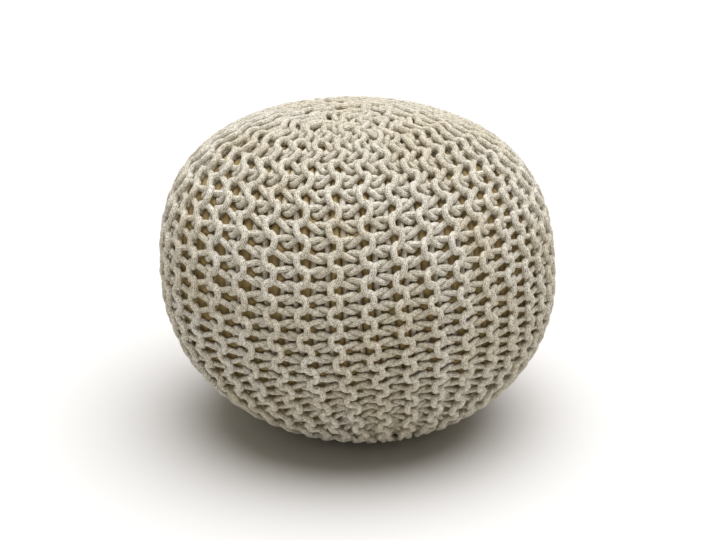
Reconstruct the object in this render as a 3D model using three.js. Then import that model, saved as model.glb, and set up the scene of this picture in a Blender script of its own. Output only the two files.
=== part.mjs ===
// A hand-knitted floor pouf in millimetres, +Z up, standing on z = 0 with its front towards -Y.
// A garter-stitch cover of thick cotton cord is drawn together at both ends over a round, filled casing.
// The rows of knitting run from end to end, so the ridges stand like the ribs of a melon and zigzag
// from stitch to stitch. Some rows stop short of the ends, which leaves fewer ridges at the gathers.

import * as THREE from "three";

// The filled body, measured over the cords
const WIDTH = 500; // across the belly
const BELLY_HEIGHT = 194; // from the floor up to the widest circle
const CROWN_RISE = 210; // from the belly up to the crown
const BASE_DROP = 206; // from the belly down to where the base would close if no floor flattened it
const CROWN_POWER = 2.65; // superellipse power of the upper half: above 2 it is flatter than an ellipse
const BASE_POWER = 2;
const BODY_LEAN = 0.03; // sideways drift towards -X for each millimetre above the belly
const FLOOR_EASE = 4; // height over which the base rolls into its flat

// The knitting
const RIDGES = 40; // ridges round the belly
const FIRST_STITCH = 0.25; // how much of a stitch is drawn into the upper gather
const CORD = 8.5; // diameter of the cotton cord
const ZIGZAG = 5.8; // how far a ridge swings to each side of its line
const MOST_SWING = 0.16; // the same as a share of the ridge spacing, where the ridges crowd together
const COVER_THICKNESS = 1.7 * CORD; // ridges and rungs; the inner ridges sink into the casing
const RUNG_DEPTH = 0.8 * CORD; // how far the rungs lie below the ridges
const RELIEF_FADE = 30; // height above the floor over which the ridges are pressed flat
const MIN_RIDGE_SPACING = 16; // where the ridges would crowd closer than this, every other one stops

// Length of a stitch along its ridge, at shares of the way from the upper gather to the lower. Stitches
// are stretched on the crown and settled in the lower half.
const STITCHES = [
  { share: 0, length: 37.9 },
  { share: 0.2, length: 37.9 },
  { share: 0.6, length: 27.6 },
];

// How the cover sits on the body: its ends are a little off the top and the bottom
const KNIT_PITCH = THREE.MathUtils.degToRad(-3); // top end towards the back
const KNIT_ROLL = THREE.MathUtils.degToRad(5.5); // top end towards -X
const KNIT_SHIFT = new THREE.Vector3(0.08, 0, 0); // both ends towards +X, in body radii
const TOP_SHIFT = new THREE.Vector3(0.06, 0.25, 0); // the top end further, mostly towards the back

// Meshing
const WALK_STEPS = 720; // steps from gather to gather in which lengths are measured
const POINTS_PER_RIDGE = 3; // one on the ridge and two in the valley beside it
const LINING_ROWS = 20; // rings on the smooth inner side of the cover and on the casing
const CASING_GAP = 0.5; // clearance between the cover and the casing

const COTTON_CORD = new THREE.MeshStandardMaterial({ color: 0xcfc7b2, roughness: 0.95, metalness: 0 });
const CASING_CLOTH = new THREE.MeshStandardMaterial({ color: 0x93825f, roughness: 0.9, metalness: 0 });

const ACROSS = new THREE.Vector3(1, 0, 0);
const FRONT_TO_BACK = new THREE.Vector3(0, 1, 0);

// Direction from the belly's centre to a place on the cover. longitude runs round the cover from the
// ridge nearest the front towards +X, and polar is the angle from the upper gather, 0, to the lower, PI.
function coverDirection(longitude, polar) {
  const nearTop = Math.max(Math.cos(polar), 0) ** 2;
  return new THREE.Vector3()
    .setFromSphericalCoords(1, polar, longitude)
    .applyAxisAngle(ACROSS, Math.PI / 2)
    .applyAxisAngle(ACROSS, KNIT_PITCH)
    .applyAxisAngle(FRONT_TO_BACK, -KNIT_ROLL)
    .add(KNIT_SHIFT)
    .addScaledVector(TOP_SHIFT, nearTop)
    .normalize();
}

// Distance from the belly's centre to the outside of the unflattened body in a direction.
function bodyReach(direction) {
  const upper = direction.z > 0;
  const rise = upper ? CROWN_RISE : BASE_DROP;
  const power = upper ? CROWN_POWER : BASE_POWER;
  const outward = Math.hypot(direction.x, direction.y) / (WIDTH / 2);
  const upward = Math.abs(direction.z) / rise;
  return Math.pow(outward ** power + upward ** power, -1 / power);
}

// The height of a point once the floor has pressed the base flat at the level given.
function pressedFlat(height, level) {
  const above = height - level;
  if (above >= FLOOR_EASE) return height;
  if (above <= -FLOOR_EASE) return level;
  return level + (above + FLOOR_EASE) ** 2 / (4 * FLOOR_EASE);
}

// A point of the body, lying inset below its outside. Whatever the inset, the base keeps that
// distance from the floor too.
function bodyPoint(longitude, polar, inset) {
  const direction = coverDirection(longitude, polar);
  const point = direction.clone().multiplyScalar(bodyReach(direction) - inset);
  point.x -= BODY_LEAN * point.z;
  point.z = pressedFlat(point.z + BELLY_HEIGHT, inset);
  return point;
}

// Lengths from the upper gather down to evenly spaced angles, averaged round the cover.
function lengthsDown() {
  const lengths = [0];
  for (let k = 1; k <= WALK_STEPS; k++) {
    let step = 0;
    for (let ridge = 0; ridge < RIDGES; ridge++) {
      const longitude = (2 * Math.PI * ridge) / RIDGES;
      const from = bodyPoint(longitude, (Math.PI * (k - 1)) / WALK_STEPS, 0);
      const to = bodyPoint(longitude, (Math.PI * k) / WALK_STEPS, 0);
      step += from.distanceTo(to) / RIDGES;
    }
    lengths.push(lengths[k - 1] + step);
  }
  return lengths;
}

// Length of a stitch at a share of the way from gather to gather.
function stitchLength(share) {
  const next = STITCHES.findIndex((place) => place.share > share);
  if (next < 0) return STITCHES.at(-1).length;
  const from = STITCHES[next - 1];
  const to = STITCHES[next];
  return THREE.MathUtils.mapLinear(share, from.share, to.share, from.length, to.length);
}

// Angles at which the loops of a ridge swing furthest, two for each stitch, from the upper gather down.
function loopAngles() {
  const lengths = lengthsDown();
  const angles = [];
  let stitches = FIRST_STITCH;
  for (let k = 1; k <= WALK_STEPS; k++) {
    stitches += (lengths[k] - lengths[k - 1]) / stitchLength(lengths[k] / lengths[WALK_STEPS]);
    if (stitches >= (angles.length + 1) / 2) angles.push((Math.PI * k) / WALK_STEPS);
  }
  return angles;
}

const LOOP_ANGLES = loopAngles();

// How many ridges still run at this angle from the gather, halved as they crowd together.
function ridgesAt(polar) {
  const radius = Math.sin(polar) * bodyReach(coverDirection(0, polar));
  let ridges = RIDGES;
  while ((2 * Math.PI * radius) / ridges < MIN_RIDGE_SPACING && ridges % 2 === 0) ridges /= 2;
  return ridges;
}

// Depth of the valley between ridges: full on the sides, none where the floor presses the ridges flat.
function rungDepth(longitude, polar) {
  const height = bodyPoint(longitude, polar, 0).z;
  return RUNG_DEPTH * THREE.MathUtils.smoothstep(height, FLOOR_EASE, FLOOR_EASE + RELIEF_FADE);
}

// One ring of the ridged outside, halfway between two rungs, where each ridge swings fully to one side.
function ridgedRing(polar, row) {
  const ridges = ridgesAt(polar);
  const spacing = (2 * Math.PI * Math.sin(polar) * bodyReach(coverDirection(0, polar))) / ridges;
  const swing = Math.min(ZIGZAG / spacing, MOST_SWING) * (row % 2 ? -1 : 1);
  const ring = [];
  for (let ridge = 0; ridge < ridges; ridge++) {
    for (let step = 0; step < POINTS_PER_RIDGE; step++) {
      const longitude = (2 * Math.PI * (ridge + step / POINTS_PER_RIDGE + swing)) / ridges;
      ring.push(bodyPoint(longitude, polar, step === 0 ? 0 : rungDepth(longitude, polar)));
    }
  }
  return ring;
}

// One smooth ring of the cover's inner side or of the casing.
function smoothRing(row, inset) {
  const polar = THREE.MathUtils.lerp(LOOP_ANGLES[0], LOOP_ANGLES.at(-1), row / LINING_ROWS);
  const ridges = ridgesAt(polar);
  return Array.from({ length: ridges }, (_, i) => bodyPoint((2 * Math.PI * i) / ridges, polar, inset));
}

// Joins closed rings of points into the triangles of one surface. Neighbouring rings may have different
// numbers of points, all starting at the same longitude.
class RingSurface {
  positions = [];
  triangles = [];

  addRing(points) {
    const first = this.positions.length / 3;
    for (const point of points) this.positions.push(point.x, point.y, point.z);
    return points.map((_, i) => first + i);
  }

  // Walks both rings at once and always steps along the one whose next point comes first. The band
  // between the rings faces away from the axis, or towards it if it is a lining.
  stitch(upper, lower, lining = false) {
    let i = 0;
    let j = 0;
    while (i < upper.length || j < lower.length) {
      const a = upper[i % upper.length];
      const b = lower[j % lower.length];
      const alongUpper = (i + 1) * lower.length <= (j + 1) * upper.length;
      if (alongUpper) i += 1;
      else j += 1;
      const next = alongUpper ? upper[i % upper.length] : lower[j % lower.length];
      this.triangles.push(...(lining ? [b, a, next] : [a, b, next]));
    }
  }

  stitchAll(rings, lining = false) {
    for (let k = 1; k < rings.length; k++) this.stitch(rings[k - 1], rings[k], lining);
  }

  geometry() {
    const made = new THREE.BufferGeometry();
    made.setAttribute("position", new THREE.Float32BufferAttribute(this.positions, 3));
    made.setIndex(this.triangles);
    made.computeVertexNormals();
    return made;
  }
}

// The knitted cover: a thick shell, ridged outside and smooth inside, open only at its two gathers.
function knitCover() {
  const surface = new RingSurface();
  const outside = LOOP_ANGLES.map((polar, row) => surface.addRing(ridgedRing(polar, row)));
  const inside = [];
  for (let row = 0; row <= LINING_ROWS; row++) {
    inside.push(surface.addRing(smoothRing(row, COVER_THICKNESS)));
  }
  surface.stitchAll(outside);
  surface.stitchAll(inside, true);
  surface.stitch(outside[0], inside[0], true);
  surface.stitch(outside.at(-1), inside.at(-1));
  return surface.geometry();
}

// The filled casing: one closed, smooth body that fills the cover and shows between the stitches.
function filledCasing() {
  const surface = new RingSurface();
  const inset = COVER_THICKNESS + CASING_GAP;
  const rings = [surface.addRing([bodyPoint(0, 0, inset)])];
  for (let row = 0; row <= LINING_ROWS; row++) rings.push(surface.addRing(smoothRing(row, inset)));
  rings.push(surface.addRing([bodyPoint(0, Math.PI, inset)]));
  surface.stitchAll(rings);
  return surface.geometry();
}

function piece(name, geometry, material) {
  const mesh = new THREE.Mesh(geometry, material);
  mesh.name = name;
  return mesh;
}

const pouf = new THREE.Group();
pouf.add(piece("knit_cover", knitCover(), COTTON_CORD));
pouf.add(piece("filled_casing", filledCasing(), CASING_CLOTH));

export default pouf;
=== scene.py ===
"""A hand-knitted pouf: a garter-stitch cover of thick cotton cord, cord by cord, on a filled casing."""

import math

import bpy
import numpy as np
from mathutils import Matrix, Vector
from mathutils.kdtree import KDTree


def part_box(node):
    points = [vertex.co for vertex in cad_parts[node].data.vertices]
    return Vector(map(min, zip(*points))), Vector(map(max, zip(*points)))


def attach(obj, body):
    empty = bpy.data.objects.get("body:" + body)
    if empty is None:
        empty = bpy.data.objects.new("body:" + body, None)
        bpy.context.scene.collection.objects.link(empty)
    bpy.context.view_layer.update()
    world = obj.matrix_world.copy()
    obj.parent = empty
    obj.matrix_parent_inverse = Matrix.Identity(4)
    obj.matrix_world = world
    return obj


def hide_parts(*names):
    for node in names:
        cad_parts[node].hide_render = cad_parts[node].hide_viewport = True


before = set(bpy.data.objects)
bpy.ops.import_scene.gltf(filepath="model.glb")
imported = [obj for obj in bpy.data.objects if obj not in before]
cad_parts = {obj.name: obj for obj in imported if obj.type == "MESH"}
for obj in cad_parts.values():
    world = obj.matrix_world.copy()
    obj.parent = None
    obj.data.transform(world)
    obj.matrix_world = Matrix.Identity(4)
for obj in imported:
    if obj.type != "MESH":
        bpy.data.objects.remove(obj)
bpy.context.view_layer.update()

MM = 0.001
SEED = 11

# The filled body, measured over the cords, in metres
LOW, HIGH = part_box("knit_cover")
RADIUS = (HIGH.x - LOW.x + HIGH.y - LOW.y) / 4
HEIGHT = HIGH.z - LOW.z
BELLY_HEIGHT = 0.48 * HEIGHT  # from the floor up to the widest circle
CROWN_RISE = HEIGHT - BELLY_HEIGHT
BASE_DROP = 0.51 * HEIGHT  # down to where the base would close if no floor flattened it
CROWN_POWER = 2.65  # superellipse power of the upper half: above 2 it is flatter than an ellipse
BASE_POWER = 2.0
BODY_LEAN = 0.03  # sideways drift towards -X for each metre above the belly
FLOOR_EASE = 4 * MM  # height over which the base rolls into its flat

# How the cover sits on the body: its ends are a little off the top and the bottom
KNIT_PITCH = math.radians(-3)  # top end towards the back
KNIT_ROLL = math.radians(5.5)  # top end towards -X
KNIT_SHIFT = np.array((0.08, 0.0, 0.0))  # both ends towards +X, in body radii
TOP_SHIFT = np.array((0.06, 0.25, 0.0))  # the top end further, mostly towards the back

# The knitting. Stitches follow each other along a ridge, stretched on the crown and round the base.
RIDGES = 40  # round the belly
STITCH_SHARES = (0.2, 0.6, 0.65, 0.72)  # shares of the way from the upper gather to the lower
STITCH_LENGTHS = np.array((37.9, 27.6, 27.6, 44)) * MM  # length of a stitch at those shares
FIRST_STITCH = 0.25  # how much of a stitch is drawn into the upper gather
CORD = 8.5 * MM  # diameter of the relaxed cord
DRAWN_FRONT = 0.08  # how much thinner the cord is in the front loops where the stitches are settled
DRAWN_BACK = 0.23  # the same in the rungs and the back loops
PROUD = 1.2 * MM  # how far the front loops stand out of the body away from the crown
FRONT_TO_BACK = 14 * MM  # depth from the front loops to the back loops
CROWN_FLAT = 0.6  # how much of that depth is lost at the upper gather
ZIGZAG = 5.8 * MM  # how far the front loops swing to each side of their ridge's line
BACK_ZIGZAG = 8.5 * MM  # how far the back loops reach past the middle between two ridges
MOST_SWING = 0.25  # the most of either, as a share of the ridge spacing
FRONT_BULGE = 0.12  # how far the front loops spread, as a share of the ridge spacing
BACK_BULGE = 0.29  # how far the back loops spread, in stitches
RUNG_SAG = 0.15  # how far the back loops hang below the front loops, in stitches
TURN = 0.3  # how far the cord runs on as it turns round the end of a ridge, in stitches
TURN_DEPTH = 0.35  # how deep it lies there, as a share of the depth from front to back

# Most ridges stop short of the gathers, at distances that repeat from wedge to wedge of the cover.
WEDGES = 5
WEDGE_ENDS = np.array((11, 100, 60, 115, 30, 84, 50, 92)) * MM
CLOSEST = 4 * MM  # no cord comes nearer to a gather than this
DART = 32 * MM  # length over which a ridge that stops gives its room to its neighbours
DART_END = 0.5  # where in that length the ridge stops
DART_SINK = 4 * MM  # how far it sinks below its neighbours

# Hand-made unevenness, as standard deviations
WANDER_ACROSS = 1.6 * MM
WANDER_ALONG = 1.2 * MM
WANDER_DEEP = 0.5 * MM
WANDER_WAVES = 14  # waves that add up to one such drift
STITCH_JITTER = 0.5 * MM
JITTERS = 4  # places in each stitch that are moved on their own

# The casing, which swells out between the cords and is dented by them
CASING_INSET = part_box("filled_casing")[0].z  # its depth before it swells
SWELL = 2.4 * MM
DENT_GAP = 0.3 * MM  # clearance between the casing and the cords
DENT_MARGIN = 2 * MM  # how much wider a dent is on each side, so that its mesh clears the cord
POLE_STEP = 0.01  # angle from a gather at which the gather's own normal is taken

# Meshing
STEPS_PER_STITCH = 22  # along a cord
SIDES = 10  # round a cord
CASING_ROWS = 200
CASING_COLUMNS = 460

# The braid of the cord and its map
BRAID_COLUMNS = 10.0  # columns of strands round the cord
BRAID_STRANDS = 9.0  # strands in a length equal to the cord's girth
MAP_GUTTER = 0.12  # space between the rows of the map for baking, as a share of a row

# Light: a wide overhead sun in a dim, warm room
SUN_FROM = Vector((0.28, 0.02, 2.4))
SUN_STRENGTH = 4.2
SUN_ANGLE = math.radians(65)
SUN_COLOUR = (0.97, 0.985, 1.04)
ROOM_COLOUR = (1.0, 0.95, 0.85, 1.0)
ROOM_STRENGTH = 0.31
FLOOR_HALF = 6.0

# The photograph's frame and view
FRAME_WIDTH = 716
FOCAL_PIXELS = 1768
SHIFT_PIXELS = 2.6
VIEW_ELEVATION = math.radians(22)
VIEW_DISTANCE = 9 * RADIUS
SENSOR_WIDTH = 36.0

rng = np.random.default_rng(SEED)


# The shape of the body

KNIT_TURN = np.array(Matrix.Rotation(-KNIT_ROLL, 3, "Y") @ Matrix.Rotation(KNIT_PITCH, 3, "X"))


def near_top(polar):
    """1 at the upper gather, falling to 0 at the belly."""
    return np.maximum(np.cos(polar), 0) ** 2


def cover_direction(longitude, polar):
    """Unit directions from the belly's centre to places on the cover."""
    across = np.sin(polar) * np.sin(longitude)
    back = -np.sin(polar) * np.cos(longitude)
    turned = np.stack([across, back, np.cos(polar)], axis=-1) @ KNIT_TURN.T
    moved = turned + KNIT_SHIFT + near_top(polar)[..., None] * TOP_SHIFT
    return moved / np.linalg.norm(moved, axis=-1, keepdims=True)


def pressed_flat(height):
    """Heights once the floor has pressed the base flat."""
    near_floor = np.clip(height, -FLOOR_EASE, FLOOR_EASE)
    eased = (near_floor + FLOOR_EASE) ** 2 / (4 * FLOOR_EASE)
    return np.where(height > FLOOR_EASE, height, eased)


def body_point(longitude, polar):
    """Points on the outside of the body."""
    direction = cover_direction(longitude, polar)
    upper = direction[..., 2] > 0
    rise = np.where(upper, CROWN_RISE, BASE_DROP)
    power = np.where(upper, CROWN_POWER, BASE_POWER)
    outward = np.hypot(direction[..., 0], direction[..., 1]) / RADIUS
    upward = np.abs(direction[..., 2]) / rise
    reach = (outward**power + upward**power) ** (-1 / power)
    point = direction * reach[..., None]
    point[..., 0] -= BODY_LEAN * point[..., 2]
    point[..., 2] = pressed_flat(point[..., 2] + BELLY_HEIGHT)
    return point


def body_normal(longitude, polar):
    """Outward unit normals of the body."""
    step = 2e-3
    along = body_point(longitude, polar + step) - body_point(longitude, polar - step)
    around = body_point(longitude + step, polar) - body_point(longitude - step, polar)
    normal = np.cross(along, around)
    return normal / np.linalg.norm(normal, axis=-1, keepdims=True)


# Measures along and around the cover

def meridian_tables():
    """Polar angles, with the mean length from the upper gather and the mean girth at each."""
    polar = np.linspace(0, math.pi, 721)
    lines = np.linspace(0, 2 * math.pi, RIDGES, endpoint=False)
    grid = body_point(*np.meshgrid(lines, polar, indexing="ij"))
    steps = np.linalg.norm(np.diff(grid, axis=1), axis=-1).mean(axis=0)
    length = np.concatenate([[0], np.cumsum(steps)])
    girth = np.linalg.norm(grid - np.roll(grid, 1, axis=0), axis=-1).sum(axis=0)
    return polar, length, girth


POLAR, LENGTH, GIRTH = meridian_tables()
STITCH = np.interp(LENGTH / LENGTH[-1], STITCH_SHARES, STITCH_LENGTHS)
COUNT = FIRST_STITCH + np.concatenate([[0], np.cumsum(np.diff(LENGTH) / STITCH[1:])])


def smooth(x):
    """An even rise from 0 to 1 as x goes from 0 to 1, level at both ends."""
    x = np.clip(x, 0, 1)
    return x * x * (3 - 2 * x)


def ridge_ends():
    """For each ridge, the half stitches at which it starts and stops, counted from the upper gather."""
    ends = np.tile(WEDGE_ENDS, WEDGES)
    top = np.interp(ends, LENGTH, COUNT)
    bottom = np.interp(LENGTH[-1] - ends, LENGTH, COUNT)
    return np.rint(2 * top), np.rint(2 * bottom)


TOP_HALF, BOTTOM_HALF = ridge_ends()
TOP_END = np.interp(TOP_HALF / 2, COUNT, LENGTH)
BOTTOM_END = np.interp(BOTTOM_HALF / 2, COUNT, LENGTH)


def ridge_shares(length):
    """How much room each ridge takes at places along the cover: 1 where it runs, 0 past its ends."""
    after_top = smooth((length - TOP_END[:, None]) / DART + DART_END)
    before_bottom = smooth((BOTTOM_END[:, None] - length) / DART + DART_END)
    last = TOP_HALF == TOP_HALF.min()
    return np.where(last[:, None], 1.0, after_top * before_bottom)


def course_longitude(course, length):
    """Longitudes of places counted in ridges round the cover, a full ridge's angle and the ridge's share."""
    share = ridge_shares(length)
    room = np.cumsum(share, axis=0)
    cell = np.floor(course + 0.5).astype(int)
    part = course + 0.5 - cell
    turns, ridge = np.divmod(cell, RIDGES)
    place = np.arange(len(course))
    own = share[ridge, place]
    before = room[ridge, place] - own
    total = room[-1]
    longitude = 2 * math.pi * (turns + (before + part * own) / total) - math.pi / RIDGES
    return longitude, 2 * math.pi / total, own


# The knitted cord

def wandering(scale):
    """A smooth random field over the cover, in which neighbouring cords move together."""
    round_count = rng.integers(-8, 9, WANDER_WAVES)
    along_count = rng.uniform(0.5, 4, WANDER_WAVES)
    phase = rng.uniform(0, 2 * math.pi, WANDER_WAVES)

    def field(course, stitch):
        total = np.zeros_like(course)
        for k in range(WANDER_WAVES):
            turn = round_count[k] * course / RIDGES + along_count[k] * stitch / COUNT[-1]
            total += np.sin(2 * math.pi * turn + phase[k])
        return scale * total * math.sqrt(2 / WANDER_WAVES)

    return field


wander_across = wandering(WANDER_ACROSS)
wander_along = wandering(WANDER_ALONG)
wander_deep = wandering(WANDER_DEEP)


def stitch_wave(start, end):
    """A row of loops from one stitch to another: its swing across, its place along and its depth."""
    steps = round(abs(end - start) * STEPS_PER_STITCH)
    stitch = np.linspace(start, end, steps, endpoint=False)
    swing = np.cos(2 * math.pi * stitch)
    depth = (1 - swing) / 2
    front, back = bulges(stitch)
    bulge = front + (back - front) * depth
    along = stitch + bulge * np.sin(4 * math.pi * stitch) + RUNG_SAG * depth
    return swing, along, depth


def bulges(stitch):
    """How far the loops spread at the front and at the back, in stitches."""
    length = np.interp(stitch, COUNT, LENGTH)
    pitch = np.interp(length, LENGTH, STITCH)
    spacing = np.interp(length, LENGTH, GIRTH) / ridge_shares(length).sum(axis=0)
    return FRONT_BULGE * spacing / pitch, BACK_BULGE * np.minimum(pitch / STITCH[0], 1)


def turn_back(left, right, way):
    """The cord's turn round the end of a ridge, from its left row to its right row.

    The way is 1 at the lower end and -1 at the upper."""
    end = way * max(way * left, way * right)
    runs = []
    for row_end in (left, right):
        steps = round(abs(row_end - end) * STEPS_PER_STITCH)
        runs.append(np.linspace(row_end, end, steps, endpoint=False))
    bend = np.linspace(0, math.pi, STEPS_PER_STITCH // 2)
    swing = np.concatenate([np.full(len(runs[0]), -1.0), -np.cos(bend), np.full(len(runs[1]), 1.0)])
    along = np.concatenate([runs[0], end + way * TURN * np.sin(bend), runs[1][::-1]])
    depth = np.concatenate([0 * runs[0], TURN_DEPTH * np.sin(bend), 0 * runs[1]])
    return np.zeros_like(swing), swing, along, depth


def ridge_course(ridge):
    """The closed cord of one ridge: down its left row of loops, round the end and up its right row.

    Gives the place across in ridges, as a part that is fixed and a part that grows with the zigzag, the
    place along in stitches, and the depth. The left row has its front loops at whole stitches and the
    right row at half stitches."""
    top, bottom = TOP_HALF[ridge], BOTTOM_HALF[ridge]
    left = math.ceil(top / 2), math.floor(bottom / 2)
    right = math.ceil((top - 1) / 2), math.floor((bottom - 1) / 2)
    swing, along, depth = stitch_wave(*left)
    down = 0.25 - 0.25 * swing, -swing, along, depth
    swing, along, depth = stitch_wave(*right[::-1])
    up = 0.25 * swing - 0.25, swing, along + 0.5, depth
    below = turn_back(left[1], right[1] + 0.5, 1)
    above = [values[::-1] for values in turn_back(left[0], right[0] + 0.5, -1)]
    below, above = [[values[:-1] for values in turn] for turn in (below, above)]
    return [np.concatenate(values) for values in zip(down, below, up, above)]


def ridge_places(ridge):
    """Longitude, polar angle, depth below the body's outside and radius along one ridge's cord.

    The cord lies flatter near the upper gather, and is drawn thin where the stitches are settled, most in
    the rungs."""
    across, swing, stitch, depth = ridge_course(ridge)
    knots = np.arange(-JITTERS, JITTERS * COUNT[-1] + JITTERS)
    jitters = [rng.normal(0, STITCH_JITTER, len(knots)) for _ in range(3)]
    uneven = [np.interp(stitch * JITTERS, knots, jitter) for jitter in jitters]

    length = np.interp(stitch, COUNT, LENGTH) + wander_along(ridge + across, stitch) + uneven[0]
    length = np.clip(length, CLOSEST, LENGTH[-1] - CLOSEST)
    longitude, ridge_angle, share = course_longitude(ridge + across, length)
    spacing = np.interp(length, LENGTH, GIRTH) * ridge_angle / (2 * math.pi)
    slip = wander_across(ridge + across, stitch) + uneven[1]
    zigzag = np.where(depth > 0.5, BACK_ZIGZAG, ZIGZAG)
    longitude += ridge_angle * (swing * np.minimum(zigzag / spacing, MOST_SWING) + slip / spacing)
    polar = np.interp(length, LENGTH, POLAR)
    sink = np.maximum(wander_deep(ridge + across, stitch) + 0.5 * uneven[2], 0) + DART_SINK * (1 - share)
    crown = near_top(polar)
    below = CORD / 2 - PROUD * (1 - crown) + depth * FRONT_TO_BACK * (1 - CROWN_FLAT * crown**3) + sink

    stretched, settled = STITCH_SHARES[:2]
    settling = smooth((length / LENGTH[-1] - stretched) / (settled - stretched))
    drawn = settling * (DRAWN_FRONT + (DRAWN_BACK - DRAWN_FRONT) * smooth(2 * depth))
    radius = CORD / 2 * (1 - drawn)
    return longitude, polar, below, radius


class CordMesh:
    """Closed cords gathered into one mesh of quads, with a map along each cord and a map for baking."""

    def __init__(self):
        self.points = []
        self.quads = []
        self.along = []
        self.count = 0

    def add(self, longitude, polar, below, radius):
        normal = body_normal(longitude, polar)
        centre = body_point(longitude, polar) - normal * below[:, None]
        steps = len(centre)
        tangent = np.roll(centre, -1, axis=0) - np.roll(centre, 1, axis=0)
        side = np.cross(tangent, normal)
        side /= np.linalg.norm(side, axis=1, keepdims=True)
        above = np.cross(side, tangent)
        above /= np.linalg.norm(above, axis=1, keepdims=True)
        angle = np.linspace(0, 2 * math.pi, SIDES, endpoint=False)
        ring = np.cos(angle)[:, None] * side[:, None] + np.sin(angle)[:, None] * above[:, None]
        points = centre[:, None] + ring * radius[:, None, None]
        points[..., 2] = np.maximum(points[..., 2], 0)
        self.points.append(points.reshape(-1, 3))

        here = self.count + np.arange(steps * SIDES).reshape(steps, SIDES)
        ahead = np.roll(here, -1, axis=0)
        corners = [here, ahead, np.roll(ahead, -1, axis=1), np.roll(here, -1, axis=1)]
        self.quads.append(np.stack(corners, axis=-1).reshape(-1, 4))
        self.count += steps * SIDES

        girth = math.pi * CORD
        paces = np.linalg.norm(np.roll(centre, -1, axis=0) - centre, axis=1) / girth
        self.along.append(paces * round(paces.sum()) / paces.sum())

    def maps(self):
        """Corner places on the cord, in girths along and turns around, and in a square of short rows."""
        paces = np.concatenate(self.along)
        start = np.concatenate([np.cumsum(p) - p for p in self.along])
        so_far = np.cumsum(paces) - paces
        rows = math.ceil(math.sqrt(so_far[-1] / (1 + MAP_GUTTER))) + 1
        row_length = rows * (1 + MAP_GUTTER)
        row = np.floor(so_far / (row_length - paces.max()))
        in_row = so_far - row * (row_length - paces.max())

        around = np.arange(SIDES) / SIDES
        turn = np.stack([around, around, around + 1 / SIDES, around + 1 / SIDES], axis=-1)
        ends = np.array((0.0, 1.0, 1.0, 0.0))
        shape = (len(paces), SIDES, 4)
        cord_x = np.broadcast_to((start[:, None] + paces[:, None] * ends)[:, None], shape)
        cord_y = np.broadcast_to(turn, shape)
        bake_x = np.broadcast_to((in_row[:, None] + paces[:, None] * ends)[:, None], shape) / row_length
        bake_y = (row[:, None, None] + (turn + MAP_GUTTER / 2) / (1 + MAP_GUTTER)) / rows
        return {
            "CordMap": np.stack([cord_x, cord_y], axis=-1).reshape(-1, 2),
            "OFBake": np.stack([bake_x, bake_y], axis=-1).reshape(-1, 2),
        }

    def make(self, name):
        return quad_object(name, np.concatenate(self.points), np.concatenate(self.quads), self.maps())


def quad_object(name, points, quads, maps):
    """A smooth mesh object made straight from arrays."""
    mesh = bpy.data.meshes.new(name)
    mesh.vertices.add(len(points))
    mesh.vertices.foreach_set("co", points.astype(np.float32).ravel())
    mesh.loops.add(quads.size)
    mesh.loops.foreach_set("vertex_index", quads.astype(np.int32).ravel())
    mesh.polygons.add(len(quads))
    mesh.polygons.foreach_set("loop_start", np.arange(0, quads.size, 4, dtype=np.int32))
    mesh.polygons.foreach_set("use_smooth", np.ones(len(quads), dtype=bool))
    for layer, corners in maps.items():
        uv = mesh.uv_layers.new(name=layer)
        uv.data.foreach_set("uv", corners.astype(np.float32).ravel())
    mesh.update(calc_edges=True)
    mesh.validate()
    made = bpy.data.objects.new(name, mesh)
    bpy.context.scene.collection.objects.link(made)
    return made


def knit_wedges(knit, material):
    """The cover, as one piece for each wedge."""
    ridges = len(WEDGE_ENDS)
    for wedge in range(WEDGES):
        cords = CordMesh()
        for places in knit[wedge * ridges:(wedge + 1) * ridges]:
            cords.add(*places)
        made = cords.make(f"knit_wedge_{wedge + 1}")
        made.data.materials.append(material)
        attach(made, "root")
        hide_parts("knit_cover")


# The casing

def casing_inset(outside, knit):
    """How deep the casing lies under each of the points given: swollen out, and pressed in by the cords."""
    longitude, polar, below, radius = [np.concatenate(values) for values in zip(*knit)]
    tree = KDTree(len(below))
    for index, place in enumerate(body_point(longitude, polar)):
        tree.insert(place, index)
    tree.balance()
    inset = np.full(len(outside), CASING_INSET - SWELL)
    for k, place in enumerate(outside):
        for _, index, apart in tree.find_range(place, CORD / 2 + DENT_GAP + DENT_MARGIN):
            reach = radius[index] + DENT_GAP
            beside = max(apart - DENT_MARGIN, 0)
            if beside < reach:
                inset[k] = max(inset[k], below[index] + math.sqrt(reach**2 - beside**2))
    return inset


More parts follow.
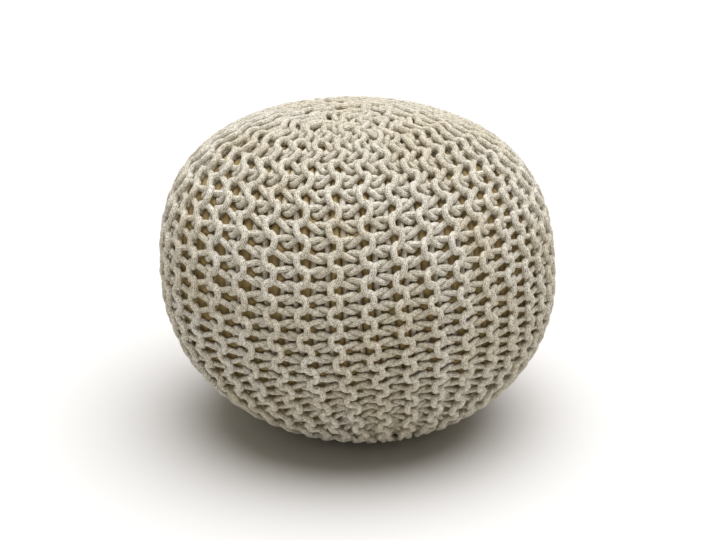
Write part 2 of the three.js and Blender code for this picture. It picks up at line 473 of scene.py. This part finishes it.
def filled_casing(knit, material):
    """A tight cloth bag that fills the cover, one closed body."""
    polar = np.linspace(0, math.pi, CASING_ROWS + 2)[1:-1]
    around = np.linspace(0, 2 * math.pi, CASING_COLUMNS, endpoint=False)
    polar, around = [values.ravel() for values in np.meshgrid(polar, around, indexing="ij")]
    polar = np.concatenate([polar, (0.0, math.pi)])
    around = np.concatenate([around, (0.0, 0.0)])
    outside = body_point(around, polar)
    normal = body_normal(around, np.clip(polar, POLE_STEP, math.pi - POLE_STEP))
    points = outside - normal * casing_inset(outside, knit)[:, None]
    index = np.arange(CASING_ROWS * CASING_COLUMNS).reshape(CASING_ROWS, CASING_COLUMNS)
    beside = np.roll(index, -1, axis=1)
    faces = np.stack([index[:-1], index[1:], beside[1:], beside[:-1]], axis=-1).reshape(-1, 4).tolist()
    top, bottom = len(points) - 2, len(points) - 1
    faces += [(top, index[0, c], beside[0, c]) for c in range(CASING_COLUMNS)]
    faces += [(bottom, beside[-1, c], index[-1, c]) for c in range(CASING_COLUMNS)]
    mesh = bpy.data.meshes.new("filled_casing_bag")
    mesh.from_pydata(points.tolist(), [], faces)
    mesh.polygons.foreach_set("use_smooth", np.ones(len(faces), dtype=bool))
    made = bpy.data.objects.new("filled_casing_bag", mesh)
    bpy.context.scene.collection.objects.link(made)
    made.data.materials.append(material)
    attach(made, "root")
    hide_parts("filled_casing")


# Materials

class Nodes:
    """Short calls for building a material's node tree."""

    def __init__(self, name):
        self.material = bpy.data.materials.new(name)
        self.material.use_nodes = True
        self.tree = self.material.node_tree
        self.shader = self.tree.nodes["Principled BSDF"]

    def add(self, kind, inputs=(), **settings):
        node = self.tree.nodes.new(kind)
        for key, value in settings.items():
            setattr(node, key, value)
        for key, value in dict(inputs).items():
            self.feed(node.inputs[key], value)
        return node

    def feed(self, socket, value):
        if isinstance(value, bpy.types.NodeSocket):
            self.tree.links.new(value, socket)
        else:
            socket.default_value = value

    def math(self, operation, a, b=0.0):
        return self.add("ShaderNodeMath", {0: a, 1: b}, operation=operation).outputs[0]

    def mix_colour(self, factor, a, b, blend="MIX"):
        node = self.add("ShaderNodeMix", data_type="RGBA", blend_type=blend)
        for key, value in ((0, factor), (6, a), (7, b)):
            self.feed(node.inputs[key], value)
        return node.outputs[2]

    def ramp(self, value, low, high):
        return self.add("ShaderNodeMapRange", {0: value, 1: low, 2: high}).outputs[0]


def srgb(red, green, blue):
    """A colour given in 0 to 255 as a picture shows it, as linear light."""
    def linear(value):
        value /= 255
        return value / 12.92 if value <= 0.04045 else ((value + 0.055) / 1.055) ** 2.4

    return (linear(red), linear(green), linear(blue), 1.0)


def cotton_cord():
    """Soft braided cotton: columns of short slanting strands, with shade painted dark into the creases
    between them.
    """
    n = Nodes("cotton_cord")
    place = n.add("ShaderNodeSeparateXYZ", {0: n.add("ShaderNodeUVMap", uv_map="CordMap").outputs[0]})
    column = n.math("MULTIPLY", place.outputs["Y"], BRAID_COLUMNS)
    slant = n.math("PINGPONG", column, 1.0)
    along = n.math("FRACT", n.math("ADD", n.math("MULTIPLY", place.outputs["X"], BRAID_STRANDS), slant))
    strand = n.math("SINE", n.math("MULTIPLY", along, math.pi))
    plait = n.math("ABSOLUTE", n.math("SINE", n.math("MULTIPLY", column, math.pi)))
    braid = n.math("POWER", n.math("MULTIPLY", strand, plait), 0.5)

    where = n.add("ShaderNodeTexCoord").outputs["Object"]
    fuzz = n.add("ShaderNodeTexNoise", {"Vector": where, "Scale": 700.0, "Detail": 3.0}).outputs[0]
    # Noise that breaks the painted shade in the creases into irregular patches
    crease_shade_breakup = n.add("ShaderNodeTexNoise", {"Vector": where, "Scale": 330.0, "Detail": 2.0}).outputs[0]
    tone = n.add("ShaderNodeTexNoise", {"Vector": where, "Scale": 14.0, "Detail": 2.0}).outputs[0]

    # Painted shade: the creases between the strands, broken up by noise, are darkened in the base colour
    # towards a shadow brown
    painted_crease_shade = n.math("MULTIPLY", n.ramp(braid, 0.85, 0.3), n.ramp(crease_shade_breakup, 0.38, 0.58))
    thread = n.mix_colour(n.ramp(fuzz, 0.3, 0.7), srgb(214, 208, 192), srgb(240, 235, 221))
    thread = n.mix_colour(n.math("MULTIPLY", painted_crease_shade, 0.95), thread, srgb(112, 97, 68))
    warm = n.mix_colour(n.ramp(tone, 0.35, 0.65), srgb(255, 255, 255), srgb(246, 242, 232))
    colour = n.mix_colour(1.0, thread, warm, blend="MULTIPLY")

    height = n.math("ADD", braid, n.math("MULTIPLY", fuzz, 0.4))
    bump = n.add("ShaderNodeBump", {"Height": height, "Strength": 0.8, "Distance": 0.6 * MM})
    n.feed(n.shader.inputs["Base Color"], colour)
    n.feed(n.shader.inputs["Normal"], bump.outputs[0])
    n.shader.inputs["Roughness"].default_value = 0.95
    n.shader.inputs["Specular IOR Level"].default_value = 0.2
    n.shader.inputs["Sheen Weight"].default_value = 0.15
    n.shader.inputs["Sheen Roughness"].default_value = 0.6
    return n.material


def casing_cloth():
    """Plain-woven cotton in a darker beige."""
    n = Nodes("casing_cloth")
    where = n.add("ShaderNodeTexCoord").outputs["Object"]
    tone = n.add("ShaderNodeTexNoise", {"Vector": where, "Scale": 30.0, "Detail": 4.0}).outputs[0]
    weave = n.add("ShaderNodeTexNoise", {"Vector": where, "Scale": 1200.0, "Detail": 2.0}).outputs[0]
    colour = n.mix_colour(n.ramp(tone, 0.3, 0.7), srgb(154, 133, 90), srgb(178, 155, 108))
    bump = n.add("ShaderNodeBump", {"Height": weave, "Strength": 0.5, "Distance": 0.4 * MM})
    n.feed(n.shader.inputs["Base Color"], colour)
    n.feed(n.shader.inputs["Normal"], bump.outputs[0])
    n.shader.inputs["Roughness"].default_value = 0.9
    n.shader.inputs["Specular IOR Level"].default_value = 0.2
    return n.material


def floor_paint():
    """Matte, pale grey."""
    n = Nodes("floor_paint")
    n.shader.inputs["Base Color"].default_value = srgb(216, 214, 210)
    n.shader.inputs["Roughness"].default_value = 0.9
    n.shader.inputs["Specular IOR Level"].default_value = 0.1
    return n.material


# Stage, light and camera

def floor(material):
    corners = [(-1, -1), (1, -1), (1, 1), (-1, 1)]
    mesh = bpy.data.meshes.new("floor")
    mesh.from_pydata([(FLOOR_HALF * x, FLOOR_HALF * y, 0) for x, y in corners], [], [(0, 1, 2, 3)])
    made = bpy.data.objects.new("floor", mesh)
    bpy.context.scene.collection.objects.link(made)
    made.data.materials.append(material)


def overhead_sun():
    lamp = bpy.data.lights.new("overhead", "SUN")
    lamp.energy = SUN_STRENGTH
    lamp.angle = SUN_ANGLE
    lamp.color = SUN_COLOUR
    made = bpy.data.objects.new("overhead", lamp)
    bpy.context.scene.collection.objects.link(made)
    made.location = SUN_FROM + Vector((0, 0, BELLY_HEIGHT))
    made.rotation_euler = SUN_FROM.to_track_quat("Z", "Y").to_euler()


def studio():
    scene = bpy.context.scene
    scene.view_settings.view_transform = "Standard"
    scene.world = bpy.data.worlds.new("studio")
    scene.world.use_nodes = True
    background = scene.world.node_tree.nodes["Background"].inputs
    background["Color"].default_value = ROOM_COLOUR
    background["Strength"].default_value = ROOM_STRENGTH
    overhead_sun()


def camera():
    lens = bpy.data.cameras.new("photo_view")
    lens.sensor_width = SENSOR_WIDTH
    lens.lens = FOCAL_PIXELS * SENSOR_WIDTH / FRAME_WIDTH
    lens.shift_y = SHIFT_PIXELS / FRAME_WIDTH
    made = bpy.data.objects.new("photo_view", lens)
    bpy.context.scene.collection.objects.link(made)
    back = VIEW_DISTANCE * math.cos(VIEW_ELEVATION)
    made.location = (0, -back, BELLY_HEIGHT + VIEW_DISTANCE * math.sin(VIEW_ELEVATION))
    made.rotation_euler = (math.pi / 2 - VIEW_ELEVATION, 0, 0)
    bpy.context.scene.camera = made


camera()
studio()
floor(floor_paint())
knit = [ridge_places(ridge) for ridge in range(RIDGES)]
filled_casing(knit, casing_cloth())
knit_wedges(knit, cotton_cord())
